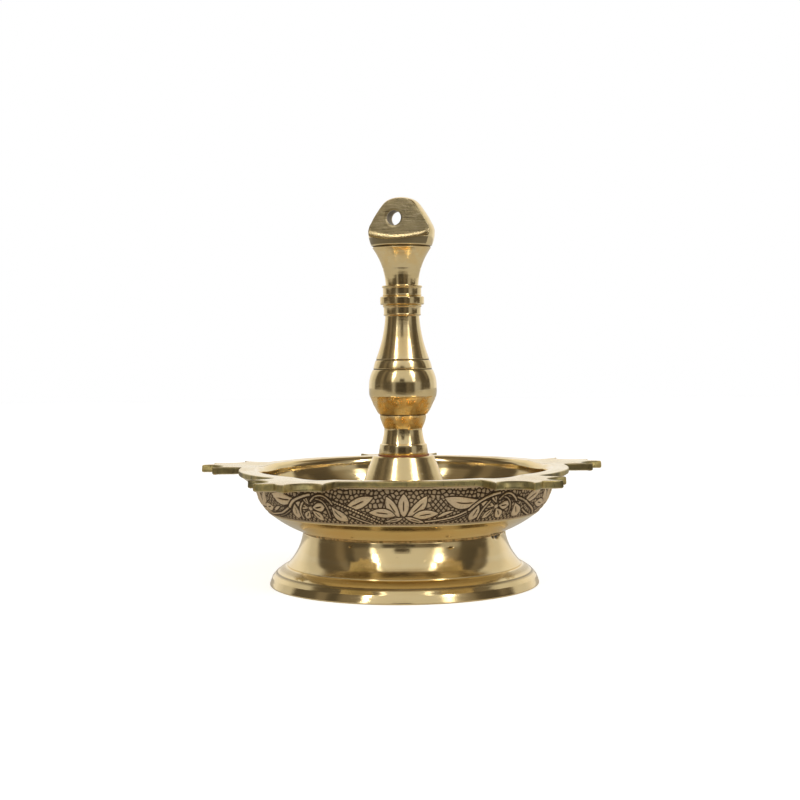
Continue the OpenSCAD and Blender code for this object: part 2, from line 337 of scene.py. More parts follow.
def turned_brass(name, gloss=0.13, line_depth=0.004, line_size=3200, warm=0.35, specks=0.5, smears=0.1):
    """Polished brass with lathe lines, faint smears, hair scratches and small specks of tarnish."""
    f = Finish(name, Metallic=1.0)
    lines = f.noise(line_size, 4, 0.7, at=f.lathe(0.0004))
    broad = f.noise(line_size / 9, 2, 0.5, at=f.lathe(0.002))
    clouds = f.noise(70, 4, 0.6)
    spots = f.noise(900, 3, 0.6)
    scratches = f.noise(420, 3, 0.75, stretch=(1.0, 0.35, 6.0))
    base = f.blend(f.rise(clouds, 0.42, 0.72, 0, warm), GOLD, WARM_GOLD)
    base = f.blend(f.rise(broad, 0.45, 0.75, 0, 0.25), base, PALE_GOLD)
    base = f.blend(f.rise(spots, 0.70, 0.78, 0, specks), base, TARNISH)
    f.colour(base)
    rough = f.rise(clouds, 0.35, 0.7, gloss, gloss + smears)
    rough = f.math("ADD", rough, f.rise(lines, 0.3, 0.8, -0.02, 0.05))
    f.roughness(f.math("ADD", rough, f.rise(scratches, 0.62, 0.8, 0, 0.12)))
    f.bump(lines, line_depth)
    f.bump(broad, line_depth * 8)
    f.bump(scratches, line_depth * 0.8)
    f.bump(f.rise(spots, 0.70, 0.80), -0.02)
    return f


def plain_brass(name, **values):
    return turned_brass(name, **values).material


def stained_brass(name, **values):
    """Turned brass with dark stains where the mesh is marked dirty."""
    f = turned_brass(name, **values)
    top = f.shader.inputs["Base Color"].links[0].from_socket
    shine = f.shader.inputs["Roughness"].links[0].from_socket
    dirt_and_shade = f.attribute("dirt_and_shade")
    f.colour(f.blend(dirt_and_shade, top, SOOT))
    f.roughness(f.math("ADD", shine, f.math("MULTIPLY", dirt_and_shade, 0.3)))
    return f.material


def rim_brass():
    """Top and lower bevel painted paler, a painted sheen; edge browned by filing and painted darker, a
    painted dark reflection; underside painted dark, a painted shade.
    """
    f = turned_brass("rim_brass", gloss=0.16, line_depth=0.003, smears=0.12)
    top = f.shader.inputs["Base Color"].links[0].from_socket
    shine = f.shader.inputs["Roughness"].links[0].from_socket
    filed_and_shaded = f.attribute("filed_and_shaded")
    patches = f.noise(260, 4, 0.65)
    strokes = f.noise(1500, 3, 0.7, stretch=(1.0, 1.0, 0.18))
    # the edge colour: olive and soot of browned filing, painted darker still as a painted dark reflection
    # of the room
    edge = f.blend(f.rise(patches, 0.40, 0.62), OLIVE, (0.56, 0.44, 0.18, 1))
    edge = f.blend(f.rise(f.noise(90, 2, 0.5), 0.45, 0.6, 0, 0.7), edge, (0.10, 0.075, 0.04, 1))
    edge = f.blend(f.rise(strokes, 0.55, 0.75, 0, 0.65), edge, SOOT)
    # the top is mixed paler, a painted sheen, and so is the lower bevel where the floor's light would
    # catch it
    top = f.blend(0.45, top, PALE_GOLD)
    f.colour(f.blend(filed_and_shaded, top, edge))
    f.roughness(f.math("ADD", shine, f.math("MULTIPLY", filed_and_shaded, 0.26)))
    f.bump(f.math("MULTIPLY", strokes, filed_and_shaded), 0.05)
    return f.material


def engraved_brass():
    """Matt tan relief over a browned, punched ground."""
    f = Finish("engraved_brass", Metallic=0.85)
    height = f.attribute("relief")
    grain = f.noise(1700, 4, 0.7)
    clouds = f.noise(120, 3, 0.6)
    tan = f.blend(f.rise(clouds, 0.35, 0.7), TAN, (0.90, 0.70, 0.44, 1))
    tan = f.blend(f.rise(grain, 0.50, 0.72, 0, 0.65), tan, (0.46, 0.34, 0.20, 1))
    worn = f.blend(f.rise(height, 0.05, 0.8), UMBER, tan)
    worn = f.blend(f.rise(height, 0.98, 1.1, 0, 0.25), worn, GOLD)
    f.colour(worn)
    f.roughness(f.rise(height, 0.1, 1.1, 0.75, 0.5))
    f.bump(grain, 0.035)
    return f.material


def handle_brass():
    """Polished turnings, with the rougher orange of the casting where the tool did not reach. The neck's
    flare gets half that orange as a painted reflection; the dark mark adds painted shade under the head's
    ledge and inside the hanging hole.
    """
    f = turned_brass("handle_brass", gloss=0.11, line_depth=0.008, warm=0.45, specks=0.6)
    top = f.shader.inputs["Base Color"].links[0].from_socket
    shine = f.shader.inputs["Roughness"].links[0].from_socket
    # this mark holds the real casting skin, and on the neck's flare a painted orange reflection
    cast = f.attribute("cast")
    brushed = f.attribute("brushed")
    dirt_and_shade = f.attribute("dirt_and_shade")
    lumps = f.noise(520, 4, 0.65)
    rings = f.noise(2600, 3, 0.7, at=f.lathe(0.003))
    strokes = f.noise(700, 4, 0.8, stretch=(0.22, 0.22, 6.5))
    skin = f.blend(f.rise(lumps, 0.38, 0.62), COPPERY, (0.97, 0.78, 0.44, 1))
    base = f.blend(cast, top, skin)
    base = f.blend(f.math("MULTIPLY", brushed, 0.62), base, (0.26, 0.22, 0.13, 1))
    base = f.blend(f.math("MULTIPLY", brushed, f.rise(strokes, 0.54, 0.68, 0, 0.8)), base, PALE_GOLD)
    base = f.blend(f.math("MULTIPLY", brushed, f.rise(strokes, 0.46, 0.36, 0, 0.8)), base, SOOT)
    # the dark mark: stains and groove lines, plus painted shade under the head's ledge and inside the
    # hanging hole
    f.colour(f.blend(dirt_and_shade, base, SOOT))
    rough = f.math("ADD", shine, f.math("MULTIPLY", cast, f.rise(lumps, 0.3, 0.7, 0.06, 0.2)))
    rough = f.math("ADD", rough, f.math("MULTIPLY", brushed, 0.2))
    f.roughness(f.math("ADD", rough, f.math("MULTIPLY", dirt_and_shade, 0.4)))
    f.bump(f.math("MULTIPLY", lumps, cast), 0.06)
    f.bump(f.math("MULTIPLY", rings, cast), 0.03)
    f.bump(f.math("MULTIPLY", strokes, brushed), 0.08)
    return f.material


def seal_fibre():
    f = Finish("seal_fibre", Metallic=0.0)
    grain = f.noise(1500, 4, 0.7)
    f.colour(f.blend(f.rise(grain, 0.35, 0.7), (0.30, 0.085, 0.03, 1), (0.46, 0.17, 0.07, 1)))
    f.roughness(f.rise(grain, 0.3, 0.7, 0.5, 0.75))
    f.bump(grain, 0.04)
    return f.material


def braze_metal():
    f = Finish("braze_metal", Metallic=1.0)
    grain = f.noise(900, 4, 0.7)
    f.colour(f.blend(f.rise(grain, 0.4, 0.62), TARNISH, WARM_GOLD))
    f.roughness(f.rise(grain, 0.3, 0.7, 0.3, 0.55))
    f.bump(grain, 0.08)
    return f.material


# ---------------------------------------------------------------- foot

def foot_outline():
    band_top = (FOOT_R - 0.72, 2.4)
    line = [(FOOT_R - 2.0, 0.0), (FOOT_R - 0.35, 0.0), (FOOT_R - 0.03, 0.16), (FOOT_R, 0.4), band_top]
    line += [(FOOT_R - 1.0, 2.72), (37.15, 3.85), (36.95, 3.83), (36.75, 4.08)]
    line += bow((36.7, 4.12), (STEP_R, STEP_Z), -0.12, 5)
    line += [(STEP_R - 0.12, STEP_Z + 0.14), (STEP_R - 0.42, STEP_Z - 0.04)]
    line += bow((STEP_R - 0.38, STEP_Z + 0.3), (NECK_R, FOOT_TOP), 0.85, 40)
    line += bow((NECK_R - 2, FOOT_TOP), (STEP_R - 2.35, 4.6), -0.85, 12)
    line += [(36.6, 1.5)]
    return line


FOOT_PITS = [  # degrees round from the camera, height, half width, half height
    (58, 15.0, 0.7, 0.5), (62.5, 14.8, 1.5, 0.7), (66, 15.1, 0.6, 0.5), (79, 15.0, 0.9, 0.6),
    (25.3, 13.6, 0.7, 0.2), (-30, 13.9, 0.3, 0.15)]


def make_foot(material):
    bm = spun(divided(eased(foot_outline(), 0.12, 2, closed=True), 0.8, closed=True), 480, closed=True)
    co = points_of(bm)
    away = np.hypot(co[:, 0], co[:, 1])
    pits = np.zeros(len(co))
    for angle, height, wide, tall in FOOT_PITS:
        a = math.radians(angle) + CAMERA_TURN
        side = co[:, 0] * math.cos(a) + co[:, 1] * math.sin(a)
        front = co[:, 0] * math.sin(a) - co[:, 1] * math.cos(a)
        near = (side / wide) ** 2 + ((co[:, 2] - height) / tall) ** 2
        pits = np.maximum(pits, np.where((front > 0) & (away > NECK_R - 1), np.exp(-near ** 2), 0))
    co[:, :2] *= (1 - pits * 0.45 / np.maximum(away, 1))[:, None]
    move_points(bm, co)
    grime = smooth(co[:, 2], 4.3, 4.7) * (1 - smooth(co[:, 2], 5.35, 5.6)) * (away > 33) * 0.34
    seam = np.where((np.abs(co[:, 2] - STEP_Z + 0.04) < 0.05) & (away < STEP_R - 0.3), 0.8, 0)
    line = np.where((np.abs(co[:, 2] - 3.83) < 0.06) & (away > 36), 0.6, 0)
    mark(bm, "dirt_and_shade", np.maximum.reduce([pits, grime, seam, line]))
    return piece(bm, "foot_flare", "base", material, ["foot"])


# ---------------------------------------------------------------- dish

def outside_line():
    """The dish's plain outside, from its seat on the foot up to the engraved band."""
    line = bow((NECK_R + 0.15, DISH_LOW), (BAND_R - 0.62, BAND_LOW - 0.5), -0.42, 32)
    return line + [(BAND_R - 0.45, BAND_LOW - 0.42), (BAND_R - 0.3, BAND_LOW - 0.12)]


def wall_line():
    return bow((BAND_R, BAND_LOW), (DISH_R, BAND_HIGH), -1.25, 60)


def inside_line():
    top = bow((LIP_R + LIP_ROUND, RIM_TOP), (LIP_R, RIM_TOP - LIP_ROUND), -LIP_ROUND / 4, 10)
    wall = bow((LIP_R, RIM_TOP - LIP_ROUND - 0.4), (BAND_R - DISH_WALL + 0.2, BAND_LOW + 1.7), 0.95, 22)
    floor = bow(wall[-1], (27.0, FLOOR_TOP), 1.15, 22)[1:]
    return top + wall + floor


def trough(x, y):
    """Depth of the wick trough under a point of the rim."""
    depth = np.zeros_like(x)
    for k in range(SPOUTS):
        a = math.pi / 2 + k * TURN / SPOUTS
        along = x * math.cos(a) + y * math.sin(a)
        across = -x * math.sin(a) + y * math.cos(a)
        here = 0.42 * np.clip((58 - along) / (58 - LIP_R), 0, 1.15) - across ** 2 / 120
        depth = np.maximum(depth, np.where(along > 30, here, 0))
    return np.maximum(depth, 0)


SEAM_PITS = [  # degrees round from the camera, half width in degrees, half height
    (58.5, 1.2, 0.4), (62.5, 2.6, 0.5), (67, 1.2, 0.35), (79, 1.6, 0.5), (43, 0.9, 0.2)]


def make_bowl(material):
    line = [(STUD_HOLE_R, DISH_LOW)] + outside_line()
    line += [(r - 0.6, z) for r, z in wall_line()[::6]]
    line += [(LIP_R + LIP_ROUND, BAND_HIGH + 0.3)] + inside_line()
    line += [(22, FLOOR_TOP), (STUD_HOLE_R, FLOOR_TOP)]
    bm = spun(line, 420, closed=True)
    co = points_of(bm)
    inner = (np.hypot(co[:, 0], co[:, 1]) < LIP_R + LIP_ROUND + 0.05) & (co[:, 2] > RIM_TOP - 6)
    scale = (LIP_R + 0.25) / np.maximum(np.hypot(co[:, 0], co[:, 1]), 1)
    sink = trough(co[:, 0] * scale, co[:, 1] * scale) * smooth(co[:, 2], RIM_TOP - 5, RIM_TOP)
    co[:, 2] -= np.where(inner, sink, 0)
    sway = ripple(co[:, 0], co[:, 1], co[:, 2], 26, 5) * 0.05
    inside = (co[:, 2] > FLOOR_TOP - 0.1) & (np.hypot(co[:, 0], co[:, 1]) < LIP_R - 0.5)
    co[:, 2] += np.where(inside & (np.hypot(co[:, 0], co[:, 1]) > 18), sway, 0)
    pits = np.zeros(len(co))
    away = np.hypot(co[:, 0], co[:, 1])
    turn = np.degrees(np.arctan2(co[:, 0], -co[:, 1]) - CAMERA_TURN)
    for angle, wide, tall in SEAM_PITS:
        near = ((turn - angle) / wide) ** 2 + ((co[:, 2] - DISH_LOW - 0.15) / tall) ** 2
        pits = np.maximum(pits, np.where(away > NECK_R - 1, np.exp(-near ** 2), 0))
    co[:, :2] *= (1 - pits * 0.4 / np.maximum(away, 1))[:, None]
    move_points(bm, co)
    mark(bm, "dirt_and_shade", pits)
    return piece(bm, "dish_bowl", "base", material, ["dish"])


def rim_shape():
    """The rim's outline as points, with what each point is: 0 bay, 1 spout side, 2 bite, 3 tip."""
    tip = (61.7, 5.4)
    tip_hollow = 2.8
    cusp = (55.2, 12.8)
    root = (46.4, 10.2)
    half = [(p, 3) for p in bow((tip[0] - tip_hollow, 0), tip, -0.55, 12)[:-1]]
    half += [(p, 2) for p in bow(tip, cusp, 4.2, 26)[:-1]]
    half += [(p, 1) for p in bow(cusp, root, 0.8, 14)[:-1]]
    step = TURN / SPOUTS
    c, s = math.cos(step), math.sin(step)
    far = (root[0] * c + root[1] * s, root[0] * s - root[1] * c)
    front_bay = [(p, 0) for p in bow(root, far, -2.0, 60)[:31]]
    side_bay = [(p, 0) for p in bow(root, far, -4.3, 60)[:31]]
    points = []
    kinds = []
    for k in range(SPOUTS):
        a = math.pi / 2 + k * step
        after = half + (front_bay if k == 2 else side_bay)
        before = half + (front_bay if k == 3 else side_bay)
        spout = [((p[0], -p[1]), kind) for p, kind in before[:0:-1]] + after
        for (x, y), kind in spout[:-1]:
            points.append((x * math.cos(a) - y * math.sin(a), x * math.sin(a) + y * math.cos(a)))
            kinds.append(kind)
    return np.array(points), np.array(kinds)


def softened(flags, width):
    """The flags of a closed outline as numbers, averaged over width neighbours."""
    count = len(flags)
    return np.convolve(np.tile(flags, 3).astype(float), np.ones(width) / width, "same")[count:2 * count]


def make_rim(material):
    """The rim plate: a filed edge round its outline, and a level top dished for the wicks."""
    points, kinds = rim_shape()
    soft = points.copy()
    for _ in range(2):
        soft = 0.5 * soft + 0.25 * (np.roll(soft, 1, 0) + np.roll(soft, -1, 0))
    count = len(soft)
    ahead = np.roll(soft, -1, 0) - np.roll(soft, 1, 0)
    ahead /= np.hypot(*ahead.T)[:, None]
    inward = np.stack([-ahead[:, 1], ahead[:, 0]], 1)
    for _ in range(5):
        inward = 0.5 * inward + 0.25 * (np.roll(inward, 1, 0) + np.roll(inward, -1, 0))
    inward /= np.hypot(*inward.T)[:, None]
    lengths = np.hypot(*(np.roll(soft, -1, 0) - soft).T)
    run = np.concatenate([[0], np.cumsum(lengths)[:-1]]) / lengths.sum()
    spout = smooth(softened(kinds > 0, 15), 0.2, 0.8)
    bite = smooth(softened(kinds == 2, 19), 0.35, 1.0)
    thick = RIM_THICK + (SPOUT_THICK - RIM_THICK) * spout
    uneven = ripple(soft[:, 0], soft[:, 1], 0 * run, 9, 21)
    # each ring of the edge: how far in, how far up from the top or the underside, and how filed and
    # painted dark (browned filing, with a painted dark reflection on the edge face)
    steps_in = [(0.38, 0.0, 0), (0.2, -0.03, 0.15), (0.06, -0.12, 0.7), (0.0, -0.3, 1)]
    lows = [(0.0, 0.55, 1.0), (0.02, 0.40, 1.0), (0.14, 0.2, 0.55), (0.42, 0.04, 0.0), (0.6, 0.0, 0.0)]
    rings = []
    scoop = bite * 0.9
    around = run * TURN + math.atan2(soft[0, 1], soft[0, 0])
    circle = np.stack([np.cos(around), np.sin(around)], 1)
    for back, drop, filed_and_shaded in steps_in:
        offset = back + scoop * (1 if drop > -0.2 else 0.82)
        rings.append((soft + inward * offset[:, None], RIM_TOP + drop + 0 * run, filed_and_shaded + 0 * run))
    for f in (0.33, 0.66):
        z = RIM_TOP - 0.3 - (thick - 0.85) * f
        offset = scoop * 0.82 * (1 - f) + 0.05 * uneven
        rings.append((soft + inward * offset[:, None], z, 1 + 0 * run))
    for back, up, filed_and_shaded in lows:
        rings.append((soft + inward * back, RIM_TOP - (thick - up), filed_and_shaded + 0 * run))
    outer_edge = len(rings) - 1
    step = TURN / SPOUTS
    from_spout = np.abs((around - math.pi / 2 + step / 2) % step - step / 2)
    in_front = np.abs((around + math.pi / 2 + math.pi) % TURN - math.pi) < step / 2
    sag = 3.4 * smooth(from_spout, 0.24, 0.42) * (1 - in_front)
    # the underside ring is painted dark: painted shade under the rim
    rings.append((circle * (DISH_R - 0.7), RIM_TOP - RIM_THICK - sag, 0.8 + 0 * run))
    start = circle * (LIP_R + LIP_ROUND - 0.02)
    rings.append((start, RIM_TOP - 1.4 + 0 * run, 0 * run))
    rings.append((start, RIM_TOP + 0 * run, 0 * run))
    bm = spun([(10 + k, 0) for k in range(len(rings))], count)
    co = points_of(bm)
    ring = np.rint(np.hypot(co[:, 0], co[:, 1])).astype(int) - 10
    spoke = np.rint(np.arctan2(co[:, 1], co[:, 0]) / TURN * count).astype(int) % count
    xy = np.stack([r[0] for r in rings])
    z = np.stack([r[1] for r in rings])
    filed_and_shaded = np.stack([r[2] for r in rings])
    co[:, :2] = xy[ring, spoke]
    co[:, 2] = z[ring, spoke]
    move_points(bm, co)
    # this mark holds browned filing plus the painted dark reflection of the edge and the painted shade of
    # the underside
    mark(bm, "filed_and_shaded", filed_and_shaded[ring, spoke])
    bm.verts.ensure_lookup_table()
    gap = [f for f in bm.faces if {ring[v.index] for v in f.verts} == {outer_edge, outer_edge + 1}]
    bmesh.ops.delete(bm, geom=gap, context="FACES")
    rims = [e for e in bm.edges if e.is_boundary]
    upper = [e for e in rims if min(v.co.z for v in e.verts) > (RIM_TOP - 0.05) * MM]
    lower = [e for e in rims if max(v.co.z for v in e.verts) < (RIM_TOP - 1) * MM]
    bmesh.ops.triangle_fill(bm, edges=lower, use_beauty=True, use_dissolve=False)
    top = bmesh.ops.triangle_fill(bm, edges=upper, use_beauty=True, use_dissolve=False)["geom"]
    top = [g for g in top if isinstance(g, bmesh.types.BMFace)]
    for way in ((1, 0, 0), (0, 1, 0)):
        for k in range(-30, 31):
            plane = Vector(way) * (k * 2 + 0.37) * MM
            flat = {g for f in top for g in (f, *f.edges, *f.verts)}
            cut = bmesh.ops.bisect_plane(bm, geom=list(flat), dist=1e-7, plane_co=plane, plane_no=way)
            top = [g for g in cut["geom"] if isinstance(g, bmesh.types.BMFace)]
    co = points_of(bm)
    level = np.abs(co[:, 2] - RIM_TOP) < 0.04
    co[:, 2] -= np.where(level, trough(co[:, 0], co[:, 1]), 0)
    co[:, 2] += np.where(level, 0.04 * ripple(co[:, 0], co[:, 1], co[:, 2], 13, 8), 0)
    move_points(bm, co)
    bmesh.ops.recalc_face_normals(bm, faces=bm.faces[:])
    return piece(bm, "dish_rim", "base", material, (), 50)


# ---------------------------------------------------------------- engraved band

BAND_REPEAT = TURN / SPOUTS * BAND_MIDDLE_R


def leaf(u, v, base, tip, wide, bend=0.0, fat=0.5):
    """How far inside a leaf each point is, its distance off the middle line, and its place along it."""
    bx, by = base
    ax, ay = tip[0] - bx, tip[1] - by
    length = math.hypot(ax, ay)
    ax, ay = ax / length, ay / length
    t = ((u - bx) * ax + (v - by) * ay) / length
    side = -(u - bx) * ay + (v - by) * ax - bend * 4 * t * (1 - t)
    inside = np.clip(t, 0, 1)
    width = wide * np.sin(math.pi * inside ** fat) ** 0.8
    gap = np.where((t < 0) | (t > 1), -np.hypot(side, np.minimum(np.abs(t), np.abs(t - 1)) * length),
                   width - np.abs(side))
    return gap, side, t


def vine(u, v, a, b, c, half):
    """How far inside a curved stem from a to c, pulled towards b, each point is."""
    best = np.full_like(u, 9.0)
    for k in range(25):
        t = k / 24
        x = (1 - t) ** 2 * a[0] + 2 * t * (1 - t) * b[0] + t * t * c[0]
        y = (1 - t) ** 2 * a[1] + 2 * t * (1 - t) * b[1] + t * t * c[1]
        best = np.minimum(best, np.hypot(u - x, v - y))
    return half - best


LEAVES = [
    # base, tip, half width, bend, fatness, slit: the lotus
    ((0.1, 3.2), (0.0, 9.9), 1.5, 0.0, 1.0, 1),
    ((1.0, 3.5), (5.9, 9.2), 1.4, -0.5, 1.05, 1),
    ((2.4, 3.1), (8.9, 4.2), 1.4, 0.3, 0.85, 1),
    ((0.4, 3.2), (5.8, 1.1), 0.8, -0.2, 0.8, 1),
    ((-1.0, 3.2), (-4.3, 9.1), 1.4, 0.4, 1.05, 1),
    ((-2.3, 3.7), (-9.0, 4.7), 1.4, -0.3, 0.85, 1),
    ((-0.4, 2.9), (-5.3, 1.4), 0.7, 0.2, 0.8, 1),
    # right of it: the broad crescent, the teardrop and a small leaf
    ((21.0, 7.7), (10.4, 8.6), 1.75, 1.15, 1.25, 1),
    ((20.0, 6.4), (18.3, 1.1), 1.5, 0.25, 1.5, 1),
    ((8.6, 2.9), (13.2, 4.9), 0.5, 0.3, 0.8, 0),
    # left of it: the pointed leaf and the teardrop
    ((-15.8, 5.2), (-7.6, 8.9), 1.5, 0.2, 1.1, 1),
    ((-19.4, 6.3), (-15.5, 1.3), 1.75, -0.5, 1.6, 1),
    # the five-petalled flower, shared with the next repeat
    ((-26.4, 5.3), (-30.9, 6.7), 1.15, 0.2, 1.3, 1),
    ((-25.3, 5.5), (-21.3, 6.1), 1.35, -0.3, 1.35, 1),
    ((-25.8, 4.7), (-23.0, 1.3), 1.25, 0.3, 1.35, 1),
    ((-26.6, 4.7), (-29.1, 1.4), 0.95, 0.0, 1.3, 1),
    ((-26.0, 6.1), (-27.6, 9.6), 0.85, 0.2, 1.3, 1),
]
VINES = [
    ((5.9, 1.5), (12.5, 2.0), (17.6, 5.0), 0.36),
    ((17.4, 4.9), (20.6, 8.4), (26.0, 9.2), 0.42),
    ((9.6, 1.2), (13.5, 1.8), (16.9, 3.7), 0.2),
    ((-21.9, 8.3), (-14.0, 6.4), (-5.9, 1.0), 0.36),
    ((-14.4, 3.3), (-11.6, 1.8), (-9.0, 0.7), 0.26),
    ((-25.2, 7.4), (-22.0, 11.0), (-19.0, 6.6), 0.3),
    ((20.9, 1.2), (20.8, 4.4), (23.2, 6.9), 0.3),
    ((-23.5, 8.0), (-20.6, 7.6), (-20.4, 2.6), 0.24),
]


def pebbles(u, v, cell):
    """Rounded grains of about the given size, packed close together, 0 between them and 1 on top."""
    best = np.full_like(u, 9.0)
    second = np.full_like(u, 9.0)
    row = np.floor(v / cell)
    for dv in (-1, 0, 1):
        for du in (-1, 0, 1):
            j = row + dv
            i = np.floor(u / cell + 0.5 * (j % 2)) + du
            hx = np.modf(np.abs(np.sin(i * 12.99 + j * 78.23) * 4375.85))[0]
            hy = np.modf(np.abs(np.sin(i * 39.35 + j * 11.14) * 2453.68))[0]
            x = (i + 0.5 - 0.5 * (j % 2) + 0.7 * (hx - 0.5)) * cell
            y = (j + 0.5 + 0.7 * (hy - 0.5)) * cell
            gap = np.hypot(u - x, v - y)
            second = np.minimum(second, np.maximum(gap, best))
            best = np.minimum(best, gap)
    return smooth(second - best, 0.06, 0.5)


def hatched(u, v):
    """Crossed grooves, 0 in them and 1 between."""
    across = (u + v * 0.8) / 1.35
    down = (u - v * 0.8) / 1.35
    groove = np.maximum(np.abs(np.modf(np.abs(across))[0] - 0.5), np.abs(np.modf(np.abs(down))[0] - 0.5))
    return smooth(0.5 - groove, 0.05, 0.22)


def relief(u, v, tall):
    """Height of the engraving, from 0 in the ground to 1 on the motifs."""
    near = smooth(u, 6.5, 7.5) * (1 - smooth(u, 10.5, 11.5)) * (1 - smooth(v, 8.2, 8.8))
    near = np.maximum(near, 1 - smooth(v, 2.4, 3.0))
    made = (pebbles(u, v, 1.2) * (1 - near) + hatched(u, v) * near) * 0.55
    for shift in (-BAND_REPEAT, 0, BAND_REPEAT):
        for base, tip, wide, bend, fat, slit in LEAVES:
            gap, off, t = leaf(u + shift, v, base, tip, wide, bend, fat)
            made = np.where(gap > -0.42, np.minimum(made, smooth(-gap, 0.0, 0.5) * 0.6), made)
            body = smooth(gap, -0.02, 0.22) * (0.9 + 0.14 * smooth(gap, 0.1, 0.8))
            if slit:
                body = body * (1 - 0.9 * smooth(0.3 - np.abs(off), 0, 0.2)
                               * smooth(t, 0.2, 0.36) * (1 - smooth(t, 0.62, 0.8)))
            made = np.maximum(made, body)
        for a, b, c, half in VINES:
            gap = vine(u + shift, v, a, b, c, half)
            made = np.where((gap > -0.4) & (gap < 0.05), np.minimum(made, 0.12), made)
            made = np.maximum(made, smooth(gap, -0.02, 0.2))
        button = 0.7 - np.hypot(u + shift + 25.9, v - 5.2)
        made = np.maximum(made, smooth(button, 0, 0.25))
    made = np.maximum(made, smooth(v, tall - 0.55, tall - 0.3) * 0.96)
    return made


def make_band(material):
    wall = divided(wall_line(), 0.17)
    inner = [(r - 0.95, z) for r, z in wall[::8]][::-1]
    lower = [(BAND_R - 0.25, BAND_LOW - 0.14), (BAND_R + 0.02, BAND_LOW - 0.03)]
    bm = spun(lower + wall[1:] + inner, 1400, closed=True)
    co = points_of(bm)
    away = np.hypot(co[:, 0], co[:, 1])
    rows = np.array(wall)
    best = np.interp(co[:, 2], rows[:, 1], rows[:, 0])
    lengths = np.concatenate([[0], np.cumsum(np.hypot(*np.diff(rows, axis=0).T))])
    v = np.interp(co[:, 2], rows[:, 1], lengths)
    outer = (away > best - 0.12) & (co[:, 2] > BAND_LOW)
    turn = np.arctan2(co[:, 0], -co[:, 1]) - CAMERA_TURN
    step = TURN / SPOUTS
    tile = np.floor(turn / step + 0.5)
    u = (turn - tile * step) * BAND_MIDDLE_R
    wobble = 0.22 * ripple(co[:, 0], co[:, 1], co[:, 2], 8, 3)
    drift = 0.18 * ripple(co[:, 0], co[:, 1], co[:, 2], 11, 4)
    drift = drift * smooth(v, 0, 1) * (1 - smooth(v, lengths[-1] - 1, lengths[-1]))
    h = relief(u + wobble, v + drift, lengths[-1])
    h = h * (1 - smooth(0.42 - v, 0, 0.1)) + 0.98 * smooth(0.42 - v, 0.0, 0.12)
    sink = np.where(outer, (1 - np.clip(h, 0, 1.05)) * BAND_DEPTH, 0)
    ease = smooth(lengths[-1] - v, 0.0, 0.1)
    away_new = away - sink * ease
    co[:, 0] *= away_new / away
    co[:, 1] *= away_new / away
    move_points(bm, co)
    mark(bm, "relief", np.where(outer, h, 0.3))
    return piece(bm, "dish_engraving", "base", material, (), 75)


# ---------------------------------------------------------------- boss, seal and fastenings

def make_boss(material):
    """The centre boss; its tapped hole has plain rings in place of a thread."""
    spigot = low("centre_boss")
    line = [(0, spigot), (3.6, spigot), (4.0, spigot + 0.4), (4.0, FLOOR_TOP - 0.3)]
    line += [(17.0, FLOOR_TOP - 0.3), (17.2, FLOOR_TOP + 0.05)]
    line += bow((16.9, FLOOR_TOP + 0.4), (8.95, BOSS_TOP - 0.35), 0.18, 40)
    line += [(8.7, BOSS_TOP), (4.35, BOSS_TOP), (4.02, BOSS_TOP - 0.35)]
    for k in range(16):
        z = BOSS_TOP - 0.6 - k * THREAD_PITCH / 2
        line += [(4.02, z), (4.32, z - 0.2), (4.32, z - 0.3), (4.02, z - 0.5)]
    line += [(4.02, BOSS_TOP - 11.9), (3.7, BOSS_TOP - 12), (0, BOSS_TOP - 12)]
    bm = spun(eased(line, 0.08, 2), 256)
    return piece(bm, "centre_boss_turned", "base", material, ["centre_boss"])


def make_seal(material):
    z0, z1 = low("seal_washer"), high("seal_washer")
    line = [(4.4, z0 + 0.02), (7.38, z0 + 0.02), (7.38, z1 - 0.02), (4.4, z1 - 0.02)]
    line = eased(line, 0.1, 2, closed=True)
    bm = spun(line, 160, closed=True)
    co = points_of(bm)
    away = np.hypot(co[:, 0], co[:, 1])
    turn = np.arctan2(co[:, 1], co[:, 0])
    bulge = np.where(away > 6, 0.10 * np.sin(turn * 5 + 1) + 0.06 * np.sin(turn * 13), 0)
    co[:, :2] *= (1 + bulge / away)[:, None]
    move_points(bm, co)
    return piece(bm, "seal_ring", "seal", material, ["seal_washer"])


# ---------------------------------------------------------------- handle

REEL_Z = HANDLE_LOW + 3.1
BULB_Z = REEL_Z + 4.5
BULB_MID_Z = BULB_Z + 9.2
BULB_TOP_Z = BULB_MID_Z + 3.4
TAPER_Z = BULB_TOP_Z + 7.2
SPOOL_Z = TAPER_Z + 12.7
RING_Z = SPOOL_Z + 3.1
SPOOL2_Z = RING_Z + 2.5
NECK_TOP_Z = SPOOL2_Z + 3.1
HEAD_Z = NECK_TOP_Z + 11.2
BALL_UP = 4.4
BALL_Z = HEAD_Z + BALL_UP
BALL_R = 9.65
BALL_HALF = 9.95
EYE_Z = BALL_Z + 3.85
EYE_R = 2.15
EYE_OFF = -1.5
EYE_HALF = 3.2
SOCKET_DEEP = 10

# Heights over the middle of the ball, and how far the head is worn in from a true ball there.
DOME_UP = [0.3, 1.6, 2.8, 4.7, 5.9, 7.0, 8.1, 9.0, 9.5, 9.95]
DOME_IN = [0.0, 0.25, 0.65, 0.95, 1.0, 0.85, 0.45, 0.05, 0.0, 0.0]


def spool_line(r, z):
    waist = r - 0.3
    return [(r - 0.45, z + 0.05), (r - 0.2, z + 0.25), (r - 0.2, z + 0.45), (waist, z + 0.6),
            (waist + 0.02, z + 2.45), (r - 0.03, z + 2.62), (r, z + 2.95), (r - 0.15, z + 3.08)]


